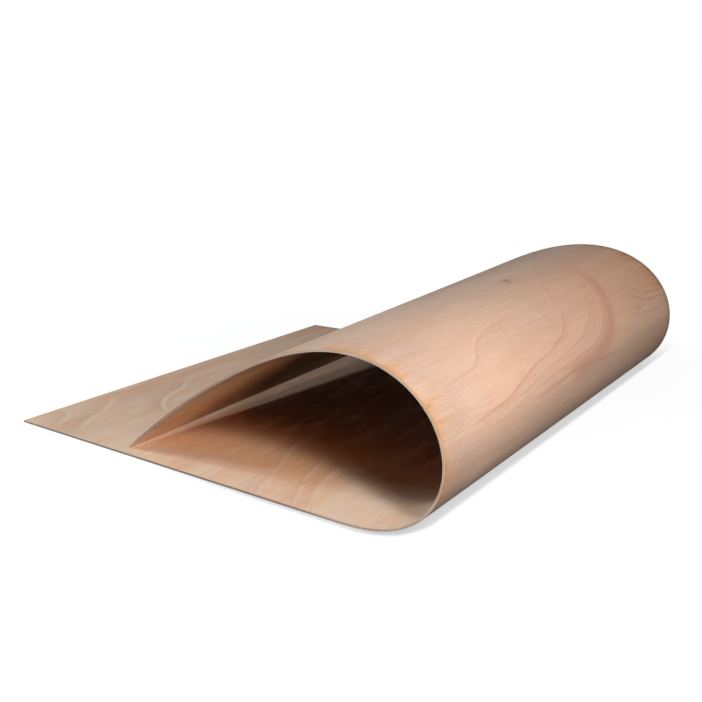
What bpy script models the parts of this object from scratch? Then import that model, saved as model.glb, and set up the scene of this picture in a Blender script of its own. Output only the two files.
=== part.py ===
"""A sheet of flexible plywood, curled over so that its free edge lands on its own flat run.

The rectangle lies flat on the floor at the -X end, lifts off, rolls up and over at the +X end and comes
back down in a teardrop. At the front (-Y) the free edge rests on the flat run; at the back (+Y) it stays
a little above it, so the curl opens towards the back. Metres, +Z up, origin under the middle of the
sheet's bounding box.
"""

import bpy
import bmesh
import numpy as np

# The sheet as sawn
SHEET_LENGTH = 2.44
SHEET_WIDTH = 1.22
THICKNESS = 0.005

# How it lies
FLAT_RUN = 0.985
REST_GAP = 0.0003
BACK_LIFT = 0.040

# Bending of the front and back edges: peak place along the curl, sharpness, straightening of the tail
FRONT_BEND_RATIOS = (0.27, 2.3, 0.24)
BACK_BEND_RATIOS = (0.284, 2.0, 0.31)

# Facets along the curl, the share of them spread by turn rather than by length, and cuts across
CURL_FACETS = 96
TURN_SHARE = 0.75
CROSS_CUTS = 5

# Samples along the curl for its integrals, and the search for the turn that lands the free edge
CURL_SAMPLES = 2400
LEAST_TURN_DEG = 185.0
MOST_TURN_DEG = 305.0
HALVING_COUNT = 50

# Rotary-cut veneer
VENEER_COLOUR = (0.62, 0.44, 0.31, 1.0)
VENEER_ROUGHNESS = 0.75

CURL_LENGTH = SHEET_LENGTH - FLAT_RUN


def running_sum(values):
    """Running integral over the curl's length, as a share of it, by the trapezium rule."""
    steps = (values[1:] + values[:-1]) / 2 / CURL_SAMPLES
    return np.concatenate([[0.0], np.cumsum(steps)])


def edge_heading(bend, turn):
    """Heading of one long edge along the curl, from 0 at lift-off to the whole turn at the free edge.

    Its rate of change is (r * exp(1 - r)) ** sharpness - straightening * sin(pi * u) ** 2, where u runs
    from 0 to 1 along the curl and r is u over the peak place.
    """
    peak, sharpness, straightening = bend
    along = np.linspace(0.0, 1.0, CURL_SAMPLES + 1)
    reach = along / peak
    rate = (reach * np.exp(1 - reach)) ** sharpness - straightening * np.sin(np.pi * along) ** 2
    turned = running_sum(rate)
    return turn * turned / turned[-1]


def edge_line(bend, turn):
    """Heading, x and z of one long edge's middle line along the curl."""
    heading = edge_heading(bend, turn)
    x = FLAT_RUN + CURL_LENGTH * running_sum(np.cos(heading))
    z = THICKNESS / 2 + CURL_LENGTH * running_sum(np.sin(heading))
    return heading, x, z


def landing_turn(bend, height):
    """The whole turn that brings the free edge's lower corner down to a height, found by halving."""
    low, high = np.radians(LEAST_TURN_DEG), np.radians(MOST_TURN_DEG)
    for _ in range(HALVING_COUNT):
        middle = (low + high) / 2
        heading, _, z = edge_line(bend, middle)
        if z[-1] + THICKNESS / 2 * np.cos(heading[-1]) > height:
            low = middle
        else:
            high = middle
    return (low + high) / 2


def edge_points():
    """Middle lines of the front and back edges as lists of points, from the flat end to the free edge.

    Both edges have the same length of sheet between stations. The straight line across from one to the
    other keeps the sheet's width and leaves the front edge at a right angle, as a bent sheet's does,
    which sets how far the front edge drifts in y where the two edges' curves part. The stations are
    closer together where the sheet bends most.
    """
    front_turn = landing_turn(FRONT_BEND_RATIOS, THICKNESS + REST_GAP)
    back_turn = landing_turn(BACK_BEND_RATIOS, THICKNESS + REST_GAP + BACK_LIFT)
    heading, x_front, z_front = edge_line(FRONT_BEND_RATIOS, front_turn)
    _, x_back, z_back = edge_line(BACK_BEND_RATIOS, back_turn)
    dx = x_back - x_front
    dz = z_back - z_front
    dy = np.sqrt(SHEET_WIDTH**2 - dx**2 - dz**2)
    drift = -(dx * np.cos(heading) + dz * np.sin(heading)) / dy
    y_front = -SHEET_WIDTH / 2 + CURL_LENGTH * running_sum(drift)
    along = np.linspace(0.0, 1.0, CURL_SAMPLES + 1)
    spread = TURN_SHARE * heading / front_turn + (1 - TURN_SHARE) * along
    stations = np.interp(np.linspace(0.0, 1.0, CURL_FACETS + 1), spread, along)
    edges = []
    for x, y, z in ((x_front, y_front, z_front), (x_back, y_front + dy, z_back)):
        picked = [np.interp(stations, along, values) for values in (x, y, z)]
        edges.append([(0.0, y[0], THICKNESS / 2), *zip(*picked)])
    return edges


def middle_surface(front, back):
    """The sheet's middle surface: the two edge lines bridged by straight lines, then cut across."""
    surface = bmesh.new()
    rims = []
    for points in (front, back):
        corners = [surface.verts.new(point) for point in points]
        rims += [surface.edges.new(pair) for pair in zip(corners, corners[1:])]
    bridged = bmesh.ops.bridge_loops(surface, edges=rims)
    bmesh.ops.recalc_face_normals(surface, faces=bridged["faces"])
    across = [edge for edge in bridged["edges"] if edge not in rims]
    bmesh.ops.subdivide_edges(surface, edges=across, cuts=CROSS_CUTS, use_grid_fill=True)
    return surface


def build_sheet(front, back):
    """The middle surface, thickened evenly to both sides into one closed sheet.

    The origin is under the middle of the bounding box: the long edges' outermost points, out by half
    the thickness at the round end.
    """
    points = np.array(front + back)
    low, high = points.min(axis=0), points.max(axis=0)
    middle_x = (low[0] + high[0] + THICKNESS / 2) / 2
    middle_y = (low[1] + high[1]) / 2
    surface = middle_surface(front, back)
    bmesh.ops.translate(surface, verts=surface.verts, vec=(-middle_x, -middle_y, 0.0))
    mesh = bpy.data.meshes.new("plywood_sheet")
    surface.to_mesh(mesh)
    surface.free()
    sheet = bpy.data.objects.new("plywood_sheet", mesh)
    bpy.context.scene.collection.objects.link(sheet)
    thicken = sheet.modifiers.new("Thickness", "SOLIDIFY")
    thicken.thickness = THICKNESS
    thicken.offset = 0.0
    thicken.use_even_offset = True
    return sheet


def veneer_material():
    """Bare, unsanded rotary-cut veneer."""
    material = bpy.data.materials.new("veneer")
    material.use_nodes = True
    surface = material.node_tree.nodes["Principled BSDF"]
    surface.inputs["Base Color"].default_value = VENEER_COLOUR
    surface.inputs["Roughness"].default_value = VENEER_ROUGHNESS
    surface.inputs["Metallic"].default_value = 0.0
    return material


for old in list(bpy.data.objects):
    bpy.data.objects.remove(old)

plywood = build_sheet(*edge_points())
plywood.data.materials.append(veneer_material())
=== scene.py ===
"""Looks of a curled sheet of flexible plywood: flat at one end and rolled over on itself at the other.

The sheet is one piece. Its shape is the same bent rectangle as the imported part's, on a finer grid. Its
pattern is drawn in the sheet's own flat coordinates, so that the veneer's figure bends with it.
"""

import bpy
import numpy as np
from mathutils import Matrix


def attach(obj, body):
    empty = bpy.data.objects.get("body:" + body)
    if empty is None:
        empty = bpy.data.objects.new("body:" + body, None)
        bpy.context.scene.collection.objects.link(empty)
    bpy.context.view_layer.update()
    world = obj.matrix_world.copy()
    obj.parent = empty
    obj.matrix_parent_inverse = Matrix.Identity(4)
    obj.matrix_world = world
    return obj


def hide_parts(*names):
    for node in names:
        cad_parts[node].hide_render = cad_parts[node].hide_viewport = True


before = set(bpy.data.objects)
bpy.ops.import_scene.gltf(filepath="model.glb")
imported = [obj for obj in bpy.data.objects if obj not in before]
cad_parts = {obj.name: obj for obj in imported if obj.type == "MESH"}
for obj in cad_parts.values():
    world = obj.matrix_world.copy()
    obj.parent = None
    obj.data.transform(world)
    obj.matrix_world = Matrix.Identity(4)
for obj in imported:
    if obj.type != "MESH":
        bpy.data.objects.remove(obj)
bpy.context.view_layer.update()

# The sheet as sawn, and the radius of its softened edges, in metres
SHEET_LENGTH = 2.44
SHEET_WIDTH = 1.22
THICKNESS = 0.005
ARRIS = 0.0003

# How it lies: length of the flat run, how far the free edge's front corner stays clear of it, and how
# much higher the back corner stands
FLAT_RUN = 0.985
REST_GAP = 0.0003
BACK_LIFT = 0.040
CURL_LENGTH = SHEET_LENGTH - FLAT_RUN

# Bending of the front and back edges: peak place along the curl, sharpness, straightening of the tail
FRONT_BEND = (0.27, 2.3, 0.24)
BACK_BEND = (0.284, 2.0, 0.31)

# Samples along the curl for its integrals, and the search for the turn that lands the free edge
CURL_SAMPLES = 2400
TURN_RANGE = (185.0, 305.0)
HALVINGS = 50

# Grid of the visible faces: steps along, across and through the sheet, rows next to an edge as shares of
# the arris radius, and the angle in degrees above which a fold between faces stays sharp
FLAT_STEPS = 24
CURL_STEPS = 260
ACROSS_STEPS = 40
PLY_ROWS = 6
ARRIS_ROWS = (0.0, 0.5, 1.0)
CREASE_ANGLE = 15.0

# Least length that is divided by, in metres
NO_LENGTH = 1e-12

# Material slot of each side of the block: sawn edge on the four narrow ones, outer face, inner face
SIDE_SLOTS = (0, 0, 0, 0, 1, 2)

# Camera, fitted to the sheet's corners and outline in the photograph: metres, degrees, millimetres
CAMERA_PLACE = (1.3252, -1.7714, 0.7478)
CAMERA_YAW = 37.318
CAMERA_DIP = 15.414
CAMERA_ROLL = -1.828
CAMERA_LENS = 43.2375
CAMERA_SENSOR = 36.0

# Lamps: direction round the object and above the floor in degrees, distance and disk width in metres,
# watts and tint
LAMPS = {
    "key_softbox": (324.0, 29.4, 2.6, 0.55, 23.3, (0.99, 1.0, 1.0)),
    "key_core": (324.0, 29.4, 2.6, 0.23, 22.2, (0.99, 1.0, 1.0)),
    "left_softbox": (230.0, 38.0, 2.6, 0.41, 5.5, (0.90, 1.0, 1.08)),
    "top_softbox": (280.0, 56.0, 2.6, 0.41, 6.0, (0.90, 1.0, 1.08)),
    "low_left_lamp": (205.0, 13.2, 2.6, 0.18, 32.0, (0.93, 1.0, 1.05)),
}
AIM_HEIGHT = 0.1
WORLD_LEVEL = 0.01
WHITE = (1.0, 1.0, 1.0, 1.0)

# The floor: its width, its colour where it is seen and where it lights the object, and its glow near
# the middle, which rises to white over a reach in metres
FLOOR_SPAN = 60.0
FLOOR_PALE = (0.12, 0.12, 0.12, 1.0)
FLOOR_DARK = (0.06, 0.06, 0.06, 1.0)
FLOOR_GLOW = 0.93
GLOW_REACH = (0.8, 1.6)

# Painted shadow on the floor under and close beside the sheet, as a rounded rectangle: its corners, the
# corner radius, the reach of its soft edge, the x and the y between which it comes in and goes out, its
# depth
FLOOR_SHADE_LOW = (-0.45, -0.632)
FLOOR_SHADE_HIGH = (0.559, 1.10)
FLOOR_SHADE_CORNER = 0.115
FLOOR_SHADE_EDGE = 0.008
FLOOR_SHADE_COMES_IN = (-0.25, 0.30)
FLOOR_SHADE_GOES_OUT = (0.66, 1.06)
FLOOR_SHADE_DEPTH = 0.35

# Peeled fibres, as noises: cells per metre along, across and through the sheet, detail, roughness, warp
FIBRE_WAVES = ((5.0, 2.2, 0.0), 3.0)
FINE_STREAKS = ((520.0, 20.0, 0.0), 3.0, 0.62)
MIDDLE_STREAKS = ((210.0, 6.5, 0.0), 2.0, 0.6)
BROAD_STREAKS = ((70.0, 2.2, 0.0), 3.0, 0.55)
PORE_DASHES = ((560.0, 110.0, 0.0), 1.0, 0.4)
CLOUDS = ((7.0, 2.6, 0.0), 4.0, 0.55, 0.6)
FLAMES = ((15.0, 4.0, 0.0), 4.0, 0.55, 0.5)

# Whole reach of the fibres' waves in metres, the shares of the streaks, the noise values at which a pore
# begins and is at its darkest, and the direction in which a face's own shift moves the whole pattern
WAVE_HEIGHT = 0.03
FINE_SHARE = 0.3
MIDDLE_SHARE = 0.4
BROAD_SHARE = 0.3
PORE_LIMITS = (0.55, 0.72)
SHIFT_DIRECTION = (3.1, 1.7, 0.0)

# Growth lines, with distances in line widths: the red line's place and steepness, the shade's rise and
# fall, the bands' noise with its cells in a width, the values between which it shows, and its fading
RED_PLACE = 1.1
RED_STEEPNESS = 1.3
SHADE_RISE = (0.3, 1.8)
SHADE_FALL = (2.0, 9.0)
BAND_NOISE = ((1.0, 5.0, 0.0), 2.0)
BANDS_PER_WIDTH = 0.9
BAND_LIMITS = (0.5, 0.72)
BAND_FADE = 0.02

# Width of the square that a line's curve node covers, and length over which its ends fade, in metres
LINE_SPAN = 4.0
LINE_FADE = 0.06

# How growth lines wander from their drawn course: noise, and whole reach in metres
LINE_WANDER = ((9.0, 6.0, 0.0), 6.0, 0.62)
WANDER_REACH = 0.024

# Share of a growth line's colour at full strength, for each of its masks
LINE_SHARES = {"Bands": 0.42, "Shade": 0.32, "Pale": 0.45, "Red": 0.55}

# Pin knots: how distances shorten along and across the sheet, the halo's steepness against the core's,
# the shares of both, and their colours
KNOT_SHAPE = (1.0, 0.45, 0.0)
HALO_STEEPNESS = 0.12
HALO_SHARE = 0.5
CORE_SHARE = 0.8
KNOT_CORE = (0.16, 0.085, 0.055, 1.0)
KNOT_HALO = (0.42, 0.26, 0.18, 1.0)

# Rim stains: noises that break up their reach, each with the values between which it acts and its effect
STAIN_FINGERS = ((330.0, 12.0, 0.0), 4.0, 0.68)
FINGER_EFFECT = (0.36, 0.68, 0.15, 2.8)
STAIN_PATCHES = ((11.0, 1.0, 0.0), 2.0)
STAIN_PATCH_EFFECT = (0.40, 0.60, 0.2, 2.0)
STAIN_ORANGE = (0.62, 0.29, 0.11, 1.0)
STAIN_BROWN = (0.20, 0.10, 0.06, 1.0)
STAIN_GREY = (0.26, 0.20, 0.16, 1.0)

# How the fibres colour a veneer: noise values between which each effect acts, and its shares there
CLOUD_LIMITS = (0.3, 0.7)
ORANGE_FLAMES = (0.50, 0.68)
PALE_FLAMES = (0.30, 0.46)
PALE_FLAME_SHARE = 0.6
RED_STREAKS = (0.36, 0.50, 0.27, 0.0)
PALE_STREAKS = (0.50, 0.64, 0.0, 0.28)
PORE_SHARE = 0.2
PORE_COLOUR = (0.34, 0.18, 0.11, 1.0)

# Finish of the veneer and of the sawn edge: relief of a pore and of the core against the fibres, bump
# strength and height in metres, roughness by noise value, and gloss
PORE_RELIEF = -0.6
VENEER_BUMP = {"Strength": 0.35, "Distance": 0.0006}
VENEER_ROUGHNESS = (0.3, 0.7, 0.78, 0.62)
CORE_RELIEF = -0.8
EDGE_BUMP = {"Strength": 0.5, "Distance": 0.0005}
EDGE_ROUGHNESS = (0.3, 0.7, 0.9, 0.75)
BARE_WOOD_GLOSS = 0.1

# The sawn edge's fibre ends: their noise, the values between which it acts, and two tones of the plies
FIBRE_ENDS = ((900.0, 900.0, 1800.0), 3.0, 0.6)
FIBRE_END_LIMITS = (0.35, 0.65)
PLY_DEEP = (0.80, 0.58, 0.45, 1.0)
PLY_PALE = (0.98, 0.79, 0.65, 1.0)

# Clouds on the sawn edge: their noise, the values between which it acts and its shares there, and colour
EDGE_CLOUDS = ((14.0, 14.0, 0.0), 3.0)
EDGE_CLOUD_EFFECT = (0.4, 0.65, 0.0, 0.3)
EDGE_CLOUD_COLOUR = (0.58, 0.36, 0.22, 1.0)

# The core ply: distances from the middle between which it ends, the noise and the whole reach of its
# ragged outline, share and colour
CORE_ENDS = (0.0002, 0.0006)
CORE_OUTLINE = ((60.0, 60.0, 0.0), 3.0)
CORE_RAGGED = 0.0006
CORE_PLY_SHARE = 0.6
CORE_COLOUR = (0.24, 0.13, 0.08, 1.0)

# Tones of the sawn edge on the flat run and on the tail: lengths along the sheet between which they
# change, the shares before and after, and colours
FLAT_RUN_TONE = (0.90, 1.08, 0.5, 0.0)
FLAT_RUN_GREY = (0.27, 0.22, 0.19, 1.0)
TAIL_TONE = (1.75, 2.15, 0.0, 0.6)
TAIL_BROWN = (0.56, 0.36, 0.24, 1.0)

# Each face's tones, which are light, deep, pale, red and orange, its shift in the fibre pattern, and the
# share of its flames
OUTER_TONES = (
    (0.79, 0.52, 0.37, 1.0),
    (0.73, 0.44, 0.315, 1.0),
    (0.87, 0.63, 0.48, 1.0),
    (0.62, 0.28, 0.195, 1.0),
    (0.74, 0.45, 0.28, 1.0),
)
OUTER_SHIFT = 0.0
OUTER_FLAMES = 0.3
INNER_TONES = (
    (0.74, 0.54, 0.40, 1.0),
    (0.68, 0.40, 0.26, 1.0),
    (0.82, 0.65, 0.51, 1.0),
    (0.48, 0.26, 0.18, 1.0),
    (0.76, 0.43, 0.25, 1.0),
)
INNER_SHIFT = 4.0
INNER_FLAMES = 0.55

# Patches of another tone, of which those marked below are painted shade and one is painted light: low
# place, high place and fade, each along and across the sheet in metres, share and colour
OUTER_PATCHES = (
    ((1.30, 0.25), (1.46, 1.40), (0.09, 0.20), 0.6, (0.86, 0.53, 0.36, 1.0)),
    ((1.50, -0.20), (1.62, 0.55), (0.06, 0.12), 0.3, (0.64, 0.43, 0.31, 1.0)),
    ((1.52, 0.82), (1.95, 1.40), (0.10, 0.22), 0.8, (0.74, 0.42, 0.275, 1.0)),
    ((1.46, -0.20), (1.75, 0.05), (0.08, 0.18), 0.85, (0.64, 0.44, 0.345, 1.0)),
    ((1.28, -0.20), (1.52, 0.05), (0.05, 0.09), 0.6, (0.61, 0.395, 0.275, 1.0)),
    # Painted shade: darker wood over the tube's lower part, which turns down towards the floor
    ((0.80, -0.20), (1.375, 1.40), (0.04, 0.20), 0.35, (0.50, 0.345, 0.275, 1.0)),
    # Painted shade: greyer, darker wood over the tube's upper left side and the tail, which face away
    # from the key light, and darker still towards the back
    ((1.76, -0.20), (2.60, 1.40), (0.14, 0.20), 1.0, (0.66, 0.47, 0.36, 1.0)),
    ((1.86, 0.60), (2.60, 1.40), (0.12, 0.30), 0.8, (0.52, 0.37, 0.29, 1.0)),
)
INNER_PATCHES = (
    ((-0.50, -0.20), (0.45, 0.16), (0.10, 0.12), 0.6, (0.80, 0.57, 0.41, 1.0)),
    ((0.30, -0.20), (0.95, 0.05), (0.12, 0.08), 0.6, (0.90, 0.64, 0.46, 1.0)),
    ((0.45, 0.13), (0.88, 0.34), (0.08, 0.10), 0.85, (0.80, 0.42, 0.21, 1.0)),
    ((1.00, -0.20), (1.25, 0.20), (0.08, 0.10), 0.6, (0.76, 0.58, 0.43, 1.0)),
    # Painted shade: darker wood along the back half of the free edge, deep inside the curl, darker still
    # on its floor, and under the tail's raised back part
    ((0.33, 0.50), (0.425, 1.40), (0.03, 0.12), 0.48, (0.30, 0.21, 0.16, 1.0)),
    ((0.37, 0.42), (2.60, 1.40), (0.03, 0.16), 0.48, (0.32, 0.17, 0.10, 1.0)),
    ((0.50, 0.42), (1.40, 1.40), (0.03, 0.20), 0.40, (0.16, 0.07, 0.035, 1.0)),
    ((2.36, 0.44), (2.60, 1.40), (0.06, 0.16), 0.45, (0.20, 0.12, 0.08, 1.0)),
    # Painted light: paler wood under the tail near its tip, where light from the lit floor falls
    ((2.20, -0.20), (2.60, 0.30), (0.15, 0.14), 1.0, (0.90, 0.66, 0.48, 1.0)),
    ((1.80, -0.20), (2.60, 0.015), (0.10, 0.03), 0.7, (0.92, 0.72, 0.58, 1.0)),
)

# Growth lines as points across and along the sheet, in metres, then each line's width and the strength
# of its pale line, its red line, its shade and its bands. Each set is drawn on axes turned by a tilt in
# degrees, on which every line of the set runs one way only
OUTER_TILT = 33.0
OUTER_LINES = (
    (
        ((0.06, 1.500), (0.15, 1.511), (0.205, 1.517), (0.235, 1.538), (0.275, 1.563), (0.34, 1.575),
         (0.46, 1.588)),
        0.005, 0.3, 0.5, 0.3, 0.0,
    ),
    (
        ((0.08, 1.418), (0.217, 1.430), (0.385, 1.458), (0.50, 1.478), (0.575, 1.498), (0.617, 1.530),
         (0.64, 1.556)),
        0.0035, 0.3, 0.85, 0.5, 0.3,
    ),
    (
        ((0.60, 1.535), (0.635, 1.572), (0.68, 1.615), (0.74, 1.662), (0.80, 1.705), (0.88, 1.750)),
        0.004, 0.5, 0.3, 0.2, 0.0,
    ),
    (
        ((0.26, 1.415), (0.40, 1.438), (0.52, 1.452), (0.62, 1.464), (0.69, 1.486), (0.74, 1.513),
         (0.785, 1.570)),
        0.0035, 0.4, 0.5, 0.25, 0.2,
    ),
    (
        ((0.16, 1.400), (0.32, 1.414), (0.45, 1.424), (0.62, 1.432), (0.72, 1.447), (0.783, 1.482),
         (0.822, 1.525), (0.860, 1.580), (0.887, 1.635), (0.915, 1.700), (0.97, 1.755), (1.05, 1.790)),
        0.0038, 0.6, 0.5, 0.1, 0.5,
    ),
    (
        ((0.50, 1.422), (0.62, 1.430), (0.72, 1.445), (0.783, 1.480), (0.822, 1.523), (0.860, 1.578),
         (0.887, 1.633), (0.90, 1.68)),
        0.030, 0.0, 1.0, 0.0, 0.0,
    ),
    (
        ((0.34, 1.396), (0.52, 1.408), (0.70, 1.400), (0.82, 1.392)),
        0.007, 0.0, 0.8, 0.0, 0.0,
    ),
)
RIM_TILT = -30.0
RIM_LINES = (
    (
        ((1.010, 1.600), (1.015, 1.545), (1.022, 1.524), (1.044, 1.509), (1.074, 1.498), (1.121, 1.486),
         (1.179, 1.480), (1.280, 1.474)),
        0.0035, 0.3, 0.8, 0.2, 0.5,
    ),
    (
        ((0.975, 1.590), (0.984, 1.535), (0.995, 1.510), (1.016, 1.493), (1.055, 1.477), (1.108, 1.468),
         (1.170, 1.463), (1.280, 1.458)),
        0.0045, 0.3, 1.0, 0.2, 0.5,
    ),
    (
        ((0.910, 1.500), (0.929, 1.479), (0.950, 1.463), (0.978, 1.451), (1.027, 1.443), (1.077, 1.440),
         (1.180, 1.434)),
        0.004, 0.4, 0.6, 0.0, 0.5,
    ),
)
INNER_TILT = -42.0
INNER_LINES = (
    (
        ((0.50, 0.105), (0.468, 0.117), (0.423, 0.150), (0.375, 0.165), (0.325, 0.187), (0.285, 0.222),
         (0.262, 0.26), (0.26, 0.30)),
        0.0075, 1.6, 0.4, 0.6, 0.3,
    ),
    (
        ((0.27, 0.03), (0.235, 0.066), (0.199, 0.095), (0.165, 0.122), (0.12, 0.140), (0.062, 0.173),
         (0.01, 0.21)),
        0.009, 1.0, 0.2, 0.7, 0.4,
    ),
    (
        ((0.125, 0.005), (0.109, 0.030), (0.095, 0.067), (0.05, 0.098), (0.0, 0.13)),
        0.008, 0.9, 0.2, 0.6, 0.3,
    ),
    (
        ((-0.02, 0.850), (0.075, 0.804), (0.168, 0.765), (0.236, 0.737), (0.33, 0.705)),
        0.007, 0.7, 0.3, 0.3, 0.5,
    ),
    (
        ((-0.02, 0.945), (0.036, 0.916), (0.097, 0.884), (0.174, 0.852), (0.27, 0.826)),
        0.006, 0.8, 0.4, 0.3, 0.0,
    ),
    (
        ((-0.02, 0.985), (0.014, 0.966), (0.101, 0.927), (0.203, 0.893), (0.30, 0.868)),
        0.006, 0.7, 0.3, 0.4, 0.6,
    ),
)

# Pin knots: centre along and across the sheet and size, in metres, and strength
OUTER_KNOTS = (
    ((1.707, 0.670), 0.005, 0.8),
    ((1.690, 0.652), 0.003, 0.7),
    ((1.484, 0.009), 0.002, 0.8),
    ((1.457, 1.003), 0.005, 0.2),
)
INNER_KNOTS = (((0.884, 0.097), 0.003, 0.4),)

# Stained rims: reach in metres from the front edge and from the back edge, raggedness, share and colour
OUTER_STAINS = (
    (0.015, 0.001, 1.0, 0.85, STAIN_ORANGE),
    (0.001, 0.030, 0.6, 0.85, STAIN_ORANGE),
    (0.0008, 0.008, 0.4, 0.75, STAIN_BROWN),
)
INNER_STAINS = ((0.0006, 0.007, 0.6, 0.85, STAIN_GREY),)


def running_sum(values):
    """Running integral over the curl's length, as a share of it, by the trapezium rule."""
    return np.concatenate([[0.0], np.cumsum((values[1:] + values[:-1]) / 2 / CURL_SAMPLES)])


def edge_line(bend, turn):
    """Heading, x and z of one long edge's middle line along the curl.

    The heading's rate of change is r times e to the power of 1 - r, all raised to the sharpness, less
    the straightening times the square of the sine of pi times u. Here u runs from 0 to 1 along the curl
    and r is u over the peak place. The rate is scaled to add up to the whole turn, and x and z are the
    running sums of the heading's cosine and sine.
    """
    peak, sharpness, straightening = bend
    along = np.linspace(0.0, 1.0, CURL_SAMPLES + 1)
    reach = along / peak
    rate = (reach * np.exp(1 - reach)) ** sharpness - straightening * np.sin(np.pi * along) ** 2
    turned = running_sum(rate)
    heading = turn * turned / turned[-1]
    x = FLAT_RUN + CURL_LENGTH * running_sum(np.cos(heading))
    z = THICKNESS / 2 + CURL_LENGTH * running_sum(np.sin(heading))
    return heading, x, z


def landed_edge(bend, height):
    """The edge line whose whole turn brings the free edge's lower corner to a height.

    The turn is found by halving its range again and again.
    """
    low, high = np.radians(TURN_RANGE)
    for _ in range(HALVINGS):
        turn = (low + high) / 2
        heading, x, z = edge_line(bend, turn)
        if z[-1] + THICKNESS / 2 * np.cos(heading[-1]) > height:
            low = turn
        else:
            high = turn
    return heading, x, z


def bent_edges():
    """Places and inward normals of the front and back edges, after the lengths at which they are known.

    The straight line across from one edge to the other keeps the sheet's width and leaves the front edge
    at a right angle, which sets how far the front edge drifts in y where the two curves part. The origin
    is under the middle of the bent sheet's box.
    """
    heading, x_front, z_front = landed_edge(FRONT_BEND, THICKNESS + REST_GAP)
    back_heading, x_back, z_back = landed_edge(BACK_BEND, THICKNESS + REST_GAP + BACK_LIFT)
    dx = x_back - x_front
    dz = z_back - z_front
    dy = np.sqrt(SHEET_WIDTH**2 - dx**2 - dz**2)
    drift = -(dx * np.cos(heading) + dz * np.sin(heading)) / dy
    y_front = -SHEET_WIDTH / 2 + CURL_LENGTH * running_sum(drift)
    length = FLAT_RUN + CURL_LENGTH * np.linspace(0.0, 1.0, CURL_SAMPLES + 1)
    length = np.concatenate([[0.0], length])
    middle_x = (max(x_front.max(), x_back.max()) + THICKNESS / 2) / 2
    middle_y = (y_front.min() + (y_front + dy).max()) / 2
    edges = []
    for turned, x, y, z in (
        (heading, x_front, y_front, z_front),
        (back_heading, x_back, y_front + dy, z_back),
    ):
        place = np.stack([x - middle_x, y - middle_y, z], axis=1)
        inward = np.stack([-np.sin(turned), 0 * turned, np.cos(turned)], axis=1)
        start = [[-middle_x, place[0, 1], THICKNESS / 2]]
        edges.append((np.concatenate([start, place]), np.concatenate([inward[:1], inward])))
    return length, edges


def read_line(length, known, values):
    """Values of a 3-D line at lengths along the sheet, between the known lengths."""
    return np.stack([np.interp(length, known, values[:, axis]) for axis in range(3)], axis=-1)


def bent_place(length, across, depth):
    """Points of the bent sheet for lengths along it, widths across it and depths from its middle.

    The point lies on the straight line from the front edge to the back edge at that length, moved by the
    depth along the surface's normal, which turns evenly from the front edge's to the back edge's.
    """
    known, (front, back) = bent_edges()
    share = (across / SHEET_WIDTH)[..., None]
    place = read_line(length, known, front[0]) * (1 - share) + read_line(length, known, back[0]) * share
    inward = read_line(length, known, front[1]) * (1 - share) + read_line(length, known, back[1]) * share
    inward /= np.linalg.norm(inward, axis=-1, keepdims=True)
    return place + inward * depth[..., None]


def near_arris(start, end, steps):
    """Grid values from start to end: rows within the arris radius at both ends, even steps between."""
    arris = np.array(ARRIS_ROWS) * ARRIS
    between = np.linspace(start + ARRIS, end - ARRIS, steps + 1)[1:-1]
    return np.concatenate([start + arris, between, end - arris[::-1]])


def block_skin(shape):
    """Quads on the six sides of a block of grid points, all facing outwards, and the side of each.

    The sides are counted 0 to 5: both ends of the length, both edges across, outer face, inner face.
    """
    index = np.arange(np.prod(shape)).reshape(shape)
    quads = []
    sides = []
    for axis in range(3):
        for end in (0, -1):
            layer = np.take(index, end, axis=axis)
            corners = [layer[:-1, :-1], layer[1:, :-1], layer[1:, 1:], layer[:-1, 1:]]
            if (end == 0) == (axis != 1):
                corners.reverse()
            quads.append(np.stack(corners, axis=-1).reshape(-1, 4))
            sides.append(np.full(len(quads[-1]), 2 * axis - end))
    return np.concatenate(quads), np.concatenate(sides)


def rounded_block(points):
    """Points of a square-edged block, drawn in round the edges to the arris radius.

    Each point is moved to the arris radius from its nearest point in the block shrunk by that radius.
    """
    half = THICKNESS / 2
    low = np.array([0.0, 0.0, -half]) + ARRIS
    high = np.array([SHEET_LENGTH, SHEET_WIDTH, half]) - ARRIS
    core = np.clip(points, low, high)
    out = points - core
    reach = np.linalg.norm(out, axis=-1, keepdims=True)
    return core + ARRIS * out / np.maximum(reach, NO_LENGTH)


def linked_object(name, data):
    """An object with this data in the scene, at the origin."""
    made = bpy.data.objects.new(name, data)
    bpy.context.scene.collection.objects.link(made)
    return made


def build_sheet():
    """The whole sheet as one closed mesh, which keeps each point's place on the flat sheet.

    The skin of a block of grid points is rounded at its edges and then bent.
    """
    start_rows, end_rows = np.split(near_arris(0.0, SHEET_LENGTH, 1), 2)
    flat = np.linspace(ARRIS, FLAT_RUN, FLAT_STEPS + 1)[1:]
    curl = np.linspace(FLAT_RUN, SHEET_LENGTH - ARRIS, CURL_STEPS + 1)[1:-1]
    length = np.concatenate([start_rows, flat, curl, end_rows])
    across = near_arris(0.0, SHEET_WIDTH, ACROSS_STEPS)
    depth = near_arris(-THICKNESS / 2, THICKNESS / 2, PLY_ROWS)
    block = np.stack(np.meshgrid(length, across, depth, indexing="ij"), axis=-1)
    quads, sides = block_skin(block.shape[:3])
    used, quads = np.unique(quads, return_inverse=True)
    flat_place = rounded_block(block.reshape(-1, 3)[used])
    mesh = bpy.data.meshes.new("plywood")
    mesh.from_pydata(bent_place(*flat_place.T).tolist(), [], quads.reshape(-1, 4).tolist())
    kept_place = mesh.attributes.new("flat_place", "FLOAT_VECTOR", "POINT")
    kept_place.data.foreach_set("vector", flat_place.ravel())
    mesh.shade_smooth()
    mesh.set_sharp_from_angle(angle=np.radians(CREASE_ANGLE))
    for material in (sawn_edge(), outer_veneer(), inner_veneer()):
        mesh.materials.append(material)
    mesh.polygons.foreach_set("material_index", np.array(SIDE_SLOTS)[sides])
    return linked_object("plywood", mesh)


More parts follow.
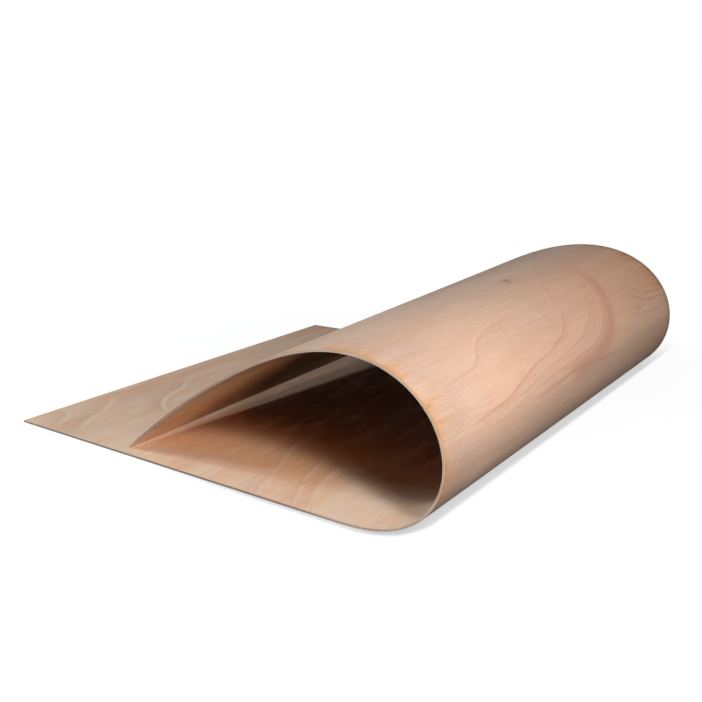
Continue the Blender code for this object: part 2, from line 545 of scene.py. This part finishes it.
class Wiring:
    """Adds nodes to one tree. An input given as a socket is linked, and any other value is set."""

    def __init__(self, tree):
        self.tree = tree

    def node(self, kind, inputs=None, **settings):
        """A node of this kind, with its settings and its inputs."""
        made = self.tree.nodes.new("ShaderNode" + kind)
        for name, value in settings.items():
            setattr(made, name, value)
        self.feed(made, inputs or {})
        return made

    def feed(self, made, inputs):
        """Links or sets a node's inputs, given by name or number."""
        for key, value in inputs.items():
            if isinstance(value, bpy.types.NodeSocket):
                self.tree.links.new(value, made.inputs[key])
            else:
                made.inputs[key].default_value = value

    def math(self, operation, *values):
        """The result of an operation on numbers."""
        return self.node("Math", dict(enumerate(values)), operation=operation).outputs[0]

    def vector(self, operation, *values):
        """The vector that an operation on vectors gives."""
        return self.node("VectorMath", dict(enumerate(values)), operation=operation).outputs[0]

    def scaled(self, place, scale, shift=(0.0, 0.0, 0.0)):
        """A place times a scale plus a shift, on each axis."""
        return self.vector("MULTIPLY_ADD", place, scale, shift)

    def length(self, vector):
        """The length of a vector."""
        return self.node("VectorMath", {0: vector}, operation="LENGTH").outputs["Value"]

    def split(self, vector):
        """The coordinates of a vector, named X, Y and Z."""
        return self.node("SeparateXYZ", {0: vector}).outputs

    def joined(self, x, y=0.0):
        """A vector with these first two coordinates."""
        return self.node("CombineXYZ", {"X": x, "Y": y}).outputs[0]

    def noise(self, place, cells, detail, roughness=0.5, warp=0.0, shift=(0.0, 0.0, 0.0)):
        """Noise from 0 to 1, with so many cells per metre on each axis."""
        inputs = {
            "Vector": self.scaled(place, cells, shift),
            "Scale": 1.0,
            "Detail": detail,
            "Roughness": roughness,
            "Distortion": warp,
        }
        return self.node("TexNoise", inputs).outputs[0]

    def bell(self, value, steepness=1.0):
        """A bell round 0: e to the power of minus the steepness times the value squared."""
        return self.math("EXPONENT", self.math("MULTIPLY", self.math("POWER", value, 2.0), -steepness))

    def ramp(self, value, low, high, start=0.0, end=1.0):
        """A smooth change from start to end while the value goes from low to high."""
        inputs = {"Value": value, "From Min": low, "From Max": high, "To Min": start, "To Max": end}
        return self.node("MapRange", inputs, interpolation_type="SMOOTHSTEP").outputs[0]

    def mix(self, share, first, second):
        """The first colour with a share of the second over it, on the numbered sockets for colours."""
        made = self.node("Mix", data_type="RGBA")
        self.feed(made, {0: share, 6: first, 7: second})
        return made.outputs[2]

    def group(self, tree, inputs):
        """The outputs of a node group."""
        made = self.node("Group", node_tree=tree)
        self.feed(made, inputs)
        return made.outputs


def new_group(name, inputs, outputs):
    """An empty shader node group with its sockets: its wiring, its inputs and its output node."""
    tree = bpy.data.node_groups.new(name, "ShaderNodeTree")
    for label, kind, value in inputs:
        socket = tree.interface.new_socket(label, in_out="INPUT", socket_type="NodeSocket" + kind)
        socket.default_value = value
    for label, kind in outputs:
        tree.interface.new_socket(label, in_out="OUTPUT", socket_type="NodeSocket" + kind)
    entry = tree.nodes.new("NodeGroupInput")
    leaving = tree.nodes.new("NodeGroupOutput")
    return Wiring(tree), entry.outputs, leaving


def new_material(name):
    """An empty material: the material, its wiring and its shader."""
    material = bpy.data.materials.new(name)
    material.use_nodes = True
    tree = material.node_tree
    return material, Wiring(tree), tree.nodes["Principled BSDF"]


def dress_wood(wire, surface, colour, height, relief, roughness):
    """Gives a shader the colour, the relief and the roughness of bare wood."""
    bump = wire.node("Bump", {"Height": height, **relief}).outputs[0]
    wire.feed(surface, {"Base Color": colour, "Roughness": roughness, "Normal": bump})
    wire.feed(surface, {"Specular IOR Level": BARE_WOOD_GLOSS})


def fibre_group():
    """Fibres of a peeled veneer, which run across the sheet.

    Streak is noise drawn out along the fibres: fine, middle and broad together, from 0 to 1. Pores are
    short dark dashes where a finer noise rises above a limit. Cloud is the slow change of tone from one
    patch to the next, and Flame a faster one, drawn out along the fibres and a little warped.
    """
    wire, given, leaving = new_group(
        "peeled_fibres",
        [("Place", "Vector", (0.0, 0.0, 0.0)), ("Shift", "Float", 0.0)],
        [("Streak", "Float"), ("Pores", "Float"), ("Cloud", "Float"), ("Flame", "Float")],
    )
    shift = {0: SHIFT_DIRECTION, "Scale": given["Shift"]}
    shift = wire.node("VectorMath", shift, operation="SCALE").outputs[0]
    place = wire.vector("ADD", given["Place"], shift)
    wave = wire.math("SUBTRACT", wire.noise(place, *FIBRE_WAVES), 0.5)
    place = wire.vector("ADD", place, wire.joined(wire.math("MULTIPLY", wave, WAVE_HEIGHT)))
    fine = wire.noise(place, *FINE_STREAKS)
    middle = wire.noise(place, *MIDDLE_STREAKS)
    broad = wire.noise(place, *BROAD_STREAKS)
    streak = wire.math("MULTIPLY_ADD", fine, FINE_SHARE, wire.math("MULTIPLY", broad, BROAD_SHARE))
    streak = wire.math("MULTIPLY_ADD", middle, MIDDLE_SHARE, streak)
    pores = wire.ramp(wire.noise(place, *PORE_DASHES), *PORE_LIMITS)
    cloud = wire.noise(place, *CLOUDS)
    flame = wire.noise(place, *FLAMES)
    wire.feed(leaving, {"Streak": streak, "Pores": pores, "Cloud": cloud, "Flame": flame})
    return wire.tree


def tone_shade_and_light_patch_group():
    """A soft-edged patch of another tone, also used for painted shade and painted light: 1 between the
    low and high places, 0 a fade's width outside.

    The mask is the product of a smooth rise and a smooth fall along the sheet and another pair across.
    """
    wire, given, leaving = new_group(
        "tone_shade_and_light_patch",
        [
            ("Place", "Vector", (0.0, 0.0, 0.0)),
            ("Low", "Vector", (0.0, 0.0, 0.0)),
            ("High", "Vector", (1.0, 1.0, 0.0)),
            ("Fade", "Vector", (0.1, 0.1, 0.1)),
        ],
        [("Mask", "Float")],
    )
    rise = wire.vector("DIVIDE", wire.vector("SUBTRACT", given["Place"], given["Low"]), given["Fade"])
    fall = wire.vector("DIVIDE", wire.vector("SUBTRACT", given["High"], given["Place"]), given["Fade"])
    mask = 1.0
    for side in (rise, fall):
        parts = wire.split(side)
        for axis in ("X", "Y"):
            mask = wire.math("MULTIPLY", wire.ramp(parts[axis], -1.0, 0.0), mask)
    wire.feed(leaving, {"Mask": mask})
    return wire.tree


def growth_line_group():
    """One growth line's masks: a pale line, a thin red one, a soft shade beyond and bands beside it.

    Offset is the distance from the line, positive on the shade's side. Fade is 1 where the line shows.
    Pale is a bell round the offset 0, Red a narrower bell beside it, Shade a rise and a slow fall over
    several widths, and Bands a noise drawn out along the line, which fades away on either side.
    """
    wire, given, leaving = new_group(
        "growth_line",
        [
            ("Offset", "Float", 0.0),
            ("Along", "Float", 0.0),
            ("Width", "Float", 0.006),
            ("Fade", "Float", 1.0),
        ],
        [("Pale", "Float"), ("Red", "Float"), ("Shade", "Float"), ("Bands", "Float")],
    )
    widths = wire.math("DIVIDE", given["Offset"], given["Width"])
    pale = wire.bell(widths)
    red = wire.bell(wire.math("MULTIPLY", wire.math("SUBTRACT", widths, RED_PLACE), RED_STEEPNESS))
    shade = wire.ramp(widths, *SHADE_FALL, 1.0, 0.0)
    shade = wire.math("MULTIPLY", wire.ramp(widths, *SHADE_RISE), shade)
    ribbon = wire.joined(wire.math("MULTIPLY", widths, BANDS_PER_WIDTH), given["Along"])
    ribbon = wire.ramp(wire.noise(ribbon, *BAND_NOISE), *BAND_LIMITS)
    bands = wire.math("MULTIPLY", ribbon, wire.bell(widths, BAND_FADE))
    for label, value in (("Pale", pale), ("Red", red), ("Shade", shade), ("Bands", bands)):
        wire.feed(leaving, {label: wire.math("MULTIPLY", value, given["Fade"])})
    return wire.tree


def pin_knot_group():
    """A pin knot: a dark spot drawn out along the fibres in a soft halo.

    Core and Halo are bells of the distance from the centre, measured shorter along the fibres.
    """
    wire, given, leaving = new_group(
        "pin_knot",
        [
            ("Place", "Vector", (0.0, 0.0, 0.0)),
            ("Centre", "Vector", (0.0, 0.0, 0.0)),
            ("Size", "Float", 0.004),
        ],
        [("Core", "Float"), ("Halo", "Float")],
    )
    away = wire.scaled(wire.vector("SUBTRACT", given["Place"], given["Centre"]), KNOT_SHAPE)
    sizes = wire.math("DIVIDE", wire.length(away), given["Size"])
    wire.feed(leaving, {"Core": wire.bell(sizes), "Halo": wire.bell(sizes, HALO_STEEPNESS)})
    return wire.tree


def rim_stain_group():
    """Weathering along the two long sawn edges, at which the fibres end.

    Stain is e to the power of minus the distance from either edge over its reach. By the share Ragged,
    the reach is broken up by fine streaks along the fibres and by patches along the edge.
    """
    wire, given, leaving = new_group(
        "rim_stain",
        [
            ("Place", "Vector", (0.0, 0.0, 0.0)),
            ("Front Reach", "Float", 0.01),
            ("Back Reach", "Float", 0.01),
            ("Ragged", "Float", 1.0),
        ],
        [("Stain", "Float")],
    )
    fingers = wire.ramp(wire.noise(given["Place"], *STAIN_FINGERS), *FINGER_EFFECT)
    patches = wire.ramp(wire.noise(given["Place"], *STAIN_PATCHES), *STAIN_PATCH_EFFECT)
    broken = wire.math("SUBTRACT", wire.math("MULTIPLY", fingers, patches), 1.0)
    broken = wire.math("MULTIPLY_ADD", broken, given["Ragged"], 1.0)
    from_front = wire.split(given["Place"])["Y"]
    from_back = wire.math("SUBTRACT", SHEET_WIDTH, from_front)
    stains = []
    for from_edge, reach in ((from_front, "Front Reach"), (from_back, "Back Reach")):
        reaches = wire.math("DIVIDE", from_edge, wire.math("MULTIPLY", given[reach], broken))
        stains.append(wire.math("EXPONENT", wire.math("MULTIPLY", reaches, -1.0)))
    wire.feed(leaving, {"Stain": wire.math("MAXIMUM", *stains)})
    return wire.tree


PEELED_FIBRES = fibre_group()
TONE_SHADE_AND_LIGHT_PATCH = tone_shade_and_light_patch_group()
GROWTH_LINE = growth_line_group()
PIN_KNOT = pin_knot_group()
RIM_STAIN = rim_stain_group()


def tilted(point, tilt):
    """A flat point's two coordinates on axes turned by the tilt, as shares of the line span."""
    across, along = point
    turn = np.radians(tilt)
    u = across * np.cos(turn) + along * np.sin(turn)
    v = along * np.cos(turn) - across * np.sin(turn)
    return u / LINE_SPAN + 0.5, v / LINE_SPAN + 0.5


def growth_line(wire, place, points, tilt, width):
    """Adds a growth line through points on the flat sheet: its pale, red, shade and band masks.

    On axes turned by the tilt the line is a function of one coordinate, held by a smooth curve node. It
    fades in after its first point and out before its last.
    """
    turn = np.radians(tilt)
    split = wire.split(place)
    cos_part = float(np.cos(turn) / LINE_SPAN)
    sin_part = float(np.sin(turn) / LINE_SPAN)
    u = wire.math("MULTIPLY_ADD", split["X"], sin_part, 0.5)
    u = wire.math("MULTIPLY_ADD", split["Y"], cos_part, u)
    v = wire.math("MULTIPLY_ADD", split["Y"], -sin_part, 0.5)
    v = wire.math("MULTIPLY_ADD", split["X"], cos_part, v)
    knots = sorted(tilted(point, tilt) for point in points)
    curve = wire.node("FloatCurve", {"Value": u})
    line = curve.mapping.curves[0]
    for _ in knots[2:]:
        line.points.new(0.5, 0.5)
    for point, knot in zip(line.points, knots):
        point.location = knot
    curve.mapping.extend = "EXTRAPOLATED"
    curve.mapping.update()
    offset = wire.math("MULTIPLY", wire.math("SUBTRACT", v, curve.outputs[0]), -LINE_SPAN)
    fade = LINE_FADE / LINE_SPAN
    starts = wire.ramp(u, knots[0][0], knots[0][0] + fade)
    ends = wire.ramp(u, knots[-1][0] - fade, knots[-1][0], 1.0, 0.0)
    inputs = {
        "Offset": offset,
        "Along": wire.math("MULTIPLY", u, LINE_SPAN),
        "Width": width,
        "Fade": wire.math("MULTIPLY", starts, ends),
    }
    return wire.group(GROWTH_LINE, inputs)


def veneer_material(name, shift, tones, flames, patches, lines, knots, stains):
    """A peeled veneer face: tone, patches of other tone and of painted shade and light, fibres, growth
    lines, pin knots, stained rims and pores.
    """
    material, wire, surface = new_material(name)
    place = wire.node("Attribute", attribute_name="flat_place").outputs["Vector"]
    fibres = wire.group(PEELED_FIBRES, {"Place": place, "Shift": shift})
    light, deep, pale, red, orange = tones
    colour = wire.mix(wire.ramp(fibres["Cloud"], *CLOUD_LIMITS), light, deep)
    for low, high, fade, share, tone in patches:
        inputs = {"Place": place, "Low": (*low, 0.0), "High": (*high, 0.0), "Fade": (*fade, 1.0)}
        mask = wire.group(TONE_SHADE_AND_LIGHT_PATCH, inputs)["Mask"]
        colour = wire.mix(wire.math("MULTIPLY", mask, share), colour, tone)
    colour = wire.mix(wire.ramp(fibres["Flame"], *ORANGE_FLAMES, 0.0, flames), colour, orange)
    pale_flames = wire.ramp(fibres["Flame"], *PALE_FLAMES, PALE_FLAME_SHARE * flames, 0.0)
    colour = wire.mix(pale_flames, colour, pale)
    colour = wire.mix(wire.ramp(fibres["Streak"], *RED_STREAKS), colour, red)
    colour = wire.mix(wire.ramp(fibres["Streak"], *PALE_STREAKS), colour, pale)
    wander = wire.noise(place, *LINE_WANDER, shift=(shift, 0.0, 0.0))
    wander = wire.joined(wire.math("MULTIPLY_ADD", wander, WANDER_REACH, -WANDER_REACH / 2))
    wandering = wire.vector("ADD", place, wander)
    for tilt, points, width, pale_part, red_part, shade_part, band_part in lines:
        masks = growth_line(wire, wandering, points, tilt, width)
        for label, strength, tone in (
            ("Bands", band_part, red),
            ("Shade", shade_part, red),
            ("Pale", pale_part, pale),
            ("Red", red_part, red),
        ):
            if strength:
                share = wire.math("MULTIPLY", masks[label], LINE_SHARES[label] * strength)
                colour = wire.mix(share, colour, tone)
    for centre, size, strength in knots:
        spot = wire.group(PIN_KNOT, {"Place": place, "Centre": (*centre, 0.0), "Size": size})
        colour = wire.mix(wire.math("MULTIPLY", spot["Halo"], HALO_SHARE * strength), colour, KNOT_HALO)
        colour = wire.mix(wire.math("MULTIPLY", spot["Core"], CORE_SHARE * strength), colour, KNOT_CORE)
    for front_reach, back_reach, ragged, share, tone in stains:
        inputs = {"Place": place, "Front Reach": front_reach, "Back Reach": back_reach, "Ragged": ragged}
        stained = wire.group(RIM_STAIN, inputs)["Stain"]
        colour = wire.mix(wire.math("MULTIPLY", stained, share), colour, tone)
    colour = wire.mix(wire.math("MULTIPLY", fibres["Pores"], PORE_SHARE), colour, PORE_COLOUR)
    height = wire.math("MULTIPLY_ADD", fibres["Pores"], PORE_RELIEF, fibres["Streak"])
    rough = wire.ramp(fibres["Streak"], *VENEER_ROUGHNESS)
    dress_wood(wire, surface, colour, height, VENEER_BUMP, rough)
    return material


def outer_veneer():
    """The outer face, which shows on the tube."""
    lines = [(OUTER_TILT, *row) for row in OUTER_LINES] + [(RIM_TILT, *row) for row in RIM_LINES]
    return veneer_material(
        "outer_veneer",
        OUTER_SHIFT,
        OUTER_TONES,
        OUTER_FLAMES,
        OUTER_PATCHES,
        lines,
        OUTER_KNOTS,
        OUTER_STAINS,
    )


def inner_veneer():
    """The inner face, which shows on the flat run, inside the curl and under the free edge."""
    lines = [(INNER_TILT, *row) for row in INNER_LINES]
    return veneer_material(
        "inner_veneer",
        INNER_SHIFT,
        INNER_TONES,
        INNER_FLAMES,
        INNER_PATCHES,
        lines,
        INNER_KNOTS,
        INNER_STAINS,
    )


def sawn_edge():
    """The sawn edges: pale outer plies and a dark core, greyer on the flat run, browner on the tail."""
    material, wire, surface = new_material("sawn_edge")
    place = wire.node("Attribute", attribute_name="flat_place").outputs["Vector"]
    split = wire.split(place)
    ragged = wire.math("MULTIPLY_ADD", wire.noise(place, *CORE_OUTLINE), CORE_RAGGED, -CORE_RAGGED / 2)
    from_core = wire.math("ABSOLUTE", wire.math("ADD", split["Z"], ragged))
    core = wire.ramp(from_core, *CORE_ENDS, 1.0, 0.0)
    ends = wire.noise(place, *FIBRE_ENDS)
    cloud = wire.ramp(wire.noise(place, *EDGE_CLOUDS), *EDGE_CLOUD_EFFECT)
    colour = wire.mix(wire.ramp(ends, *FIBRE_END_LIMITS), PLY_DEEP, PLY_PALE)
    colour = wire.mix(cloud, colour, EDGE_CLOUD_COLOUR)
    colour = wire.mix(wire.math("MULTIPLY", core, CORE_PLY_SHARE), colour, CORE_COLOUR)
    colour = wire.mix(wire.ramp(split["X"], *FLAT_RUN_TONE), colour, FLAT_RUN_GREY)
    colour = wire.mix(wire.ramp(split["X"], *TAIL_TONE), colour, TAIL_BROWN)
    height = wire.math("MULTIPLY_ADD", core, CORE_RELIEF, ends)
    rough = wire.ramp(ends, *EDGE_ROUGHNESS)
    dress_wood(wire, surface, colour, height, EDGE_BUMP, rough)
    return material


def direct_view(wire):
    """1 for the camera's rays and for what gloss or glass shows, 0 for light that is given off."""
    path = wire.node("LightPath").outputs
    seen = wire.math("MAXIMUM", path["Is Camera Ray"], path["Is Glossy Ray"])
    return wire.math("MAXIMUM", seen, path["Is Transmission Ray"])


def floor_shade(wire, place):
    """The painted shadow's mask: 1 inside a rounded rectangle on the floor, 0 outside, softly fading out
    to its left and its back.

    The distance from the rounded rectangle is the length of the part of the place that lies beyond the
    rectangle shrunk by the corner radius, less that radius.
    """
    flat = wire.scaled(place, (1.0, 1.0, 0.0))
    low = (FLOOR_SHADE_LOW[0] + FLOOR_SHADE_CORNER, FLOOR_SHADE_LOW[1] + FLOOR_SHADE_CORNER, 0.0)
    high = (FLOOR_SHADE_HIGH[0] - FLOOR_SHADE_CORNER, FLOOR_SHADE_HIGH[1] - FLOOR_SHADE_CORNER, 0.0)
    core = wire.vector("MINIMUM", wire.vector("MAXIMUM", flat, low), high)
    beyond = wire.length(wire.vector("SUBTRACT", flat, core))
    distance = wire.math("SUBTRACT", beyond, FLOOR_SHADE_CORNER)
    inside = wire.ramp(distance, -FLOOR_SHADE_EDGE, FLOOR_SHADE_EDGE, 1.0, 0.0)
    split = wire.split(place)
    inside = wire.math("MULTIPLY", inside, wire.ramp(split["X"], *FLOOR_SHADE_COMES_IN))
    return wire.math("MULTIPLY", inside, wire.ramp(split["Y"], *FLOOR_SHADE_GOES_OUT, 1.0, 0.0))


def build_floor():
    """A floor that shows white, keeps a faint cast shadow and a painted shadow beside the sheet, and
    gives little light back to the object.
    """
    reach = FLOOR_SPAN / 2
    corners = [(-reach, -reach, 0.0), (reach, -reach, 0.0), (reach, reach, 0.0), (-reach, reach, 0.0)]
    mesh = bpy.data.meshes.new("floor")
    mesh.from_pydata(corners, [], [(0, 1, 2, 3)])
    floor = linked_object("floor", mesh)
    material, wire, surface = new_material("studio_floor")
    place = wire.node("TexCoord").outputs["Object"]
    glow = wire.ramp(wire.length(place), *GLOW_REACH, FLOOR_GLOW, 1.0)
    # Painted shadow: the glow is lowered by the shade's depth inside its rounded rectangle
    unshaded = wire.math("MULTIPLY_ADD", floor_shade(wire, place), -FLOOR_SHADE_DEPTH, 1.0)
    glow = wire.math("MULTIPLY", wire.math("MULTIPLY", glow, unshaded), direct_view(wire))
    colour = wire.mix(direct_view(wire), FLOOR_DARK, FLOOR_PALE)
    wire.feed(surface, {"Base Color": colour, "Roughness": 1.0, "Specular IOR Level": 0.0})
    wire.feed(surface, {"Emission Color": glow, "Emission Strength": 1.0})
    mesh.materials.append(material)


def build_world():
    """White to direct view, and a weak even light on the object."""
    world = bpy.data.worlds.new("studio")
    world.use_nodes = True
    bpy.context.scene.world = world
    wire = Wiring(world.node_tree)
    level = wire.math("MULTIPLY_ADD", direct_view(wire), 1.0 - WORLD_LEVEL, WORLD_LEVEL)
    wire.feed(world.node_tree.nodes["Background"], {"Color": WHITE, "Strength": level})


def build_lamp(name, azimuth, elevation, distance, size, power, colour):
    """A round softbox that faces the object from a direction given in degrees."""
    light = bpy.data.lights.new(name, "AREA")
    light.shape = "DISK"
    light.size = size
    light.energy = power
    light.color = colour
    aim = Matrix.Translation((0.0, 0.0, AIM_HEIGHT))
    turn = Matrix.Rotation(np.radians(azimuth + 90), 4, "Z")
    tip = Matrix.Rotation(np.radians(90 - elevation), 4, "X")
    lamp = linked_object(name, light)
    lamp.matrix_world = aim @ turn @ tip @ Matrix.Translation((0.0, 0.0, distance))


def build_camera():
    """The camera at the photograph's viewpoint."""
    data = bpy.data.cameras.new("camera")
    data.lens = CAMERA_LENS
    data.sensor_width = CAMERA_SENSOR
    turn = Matrix.Rotation(np.radians(CAMERA_YAW), 4, "Z")
    dip = Matrix.Rotation(np.radians(90 - CAMERA_DIP), 4, "X")
    roll = Matrix.Rotation(np.radians(CAMERA_ROLL), 4, "Z")
    camera = linked_object("camera", data)
    camera.matrix_world = Matrix.Translation(CAMERA_PLACE) @ turn @ dip @ roll
    bpy.context.scene.camera = camera


plywood = build_sheet()
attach(plywood, "root")
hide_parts("plywood_sheet")

build_floor()
build_world()
for lamp_name, values in LAMPS.items():
    build_lamp(lamp_name, *values)
build_camera()
bpy.context.scene.view_settings.view_transform = "Standard"
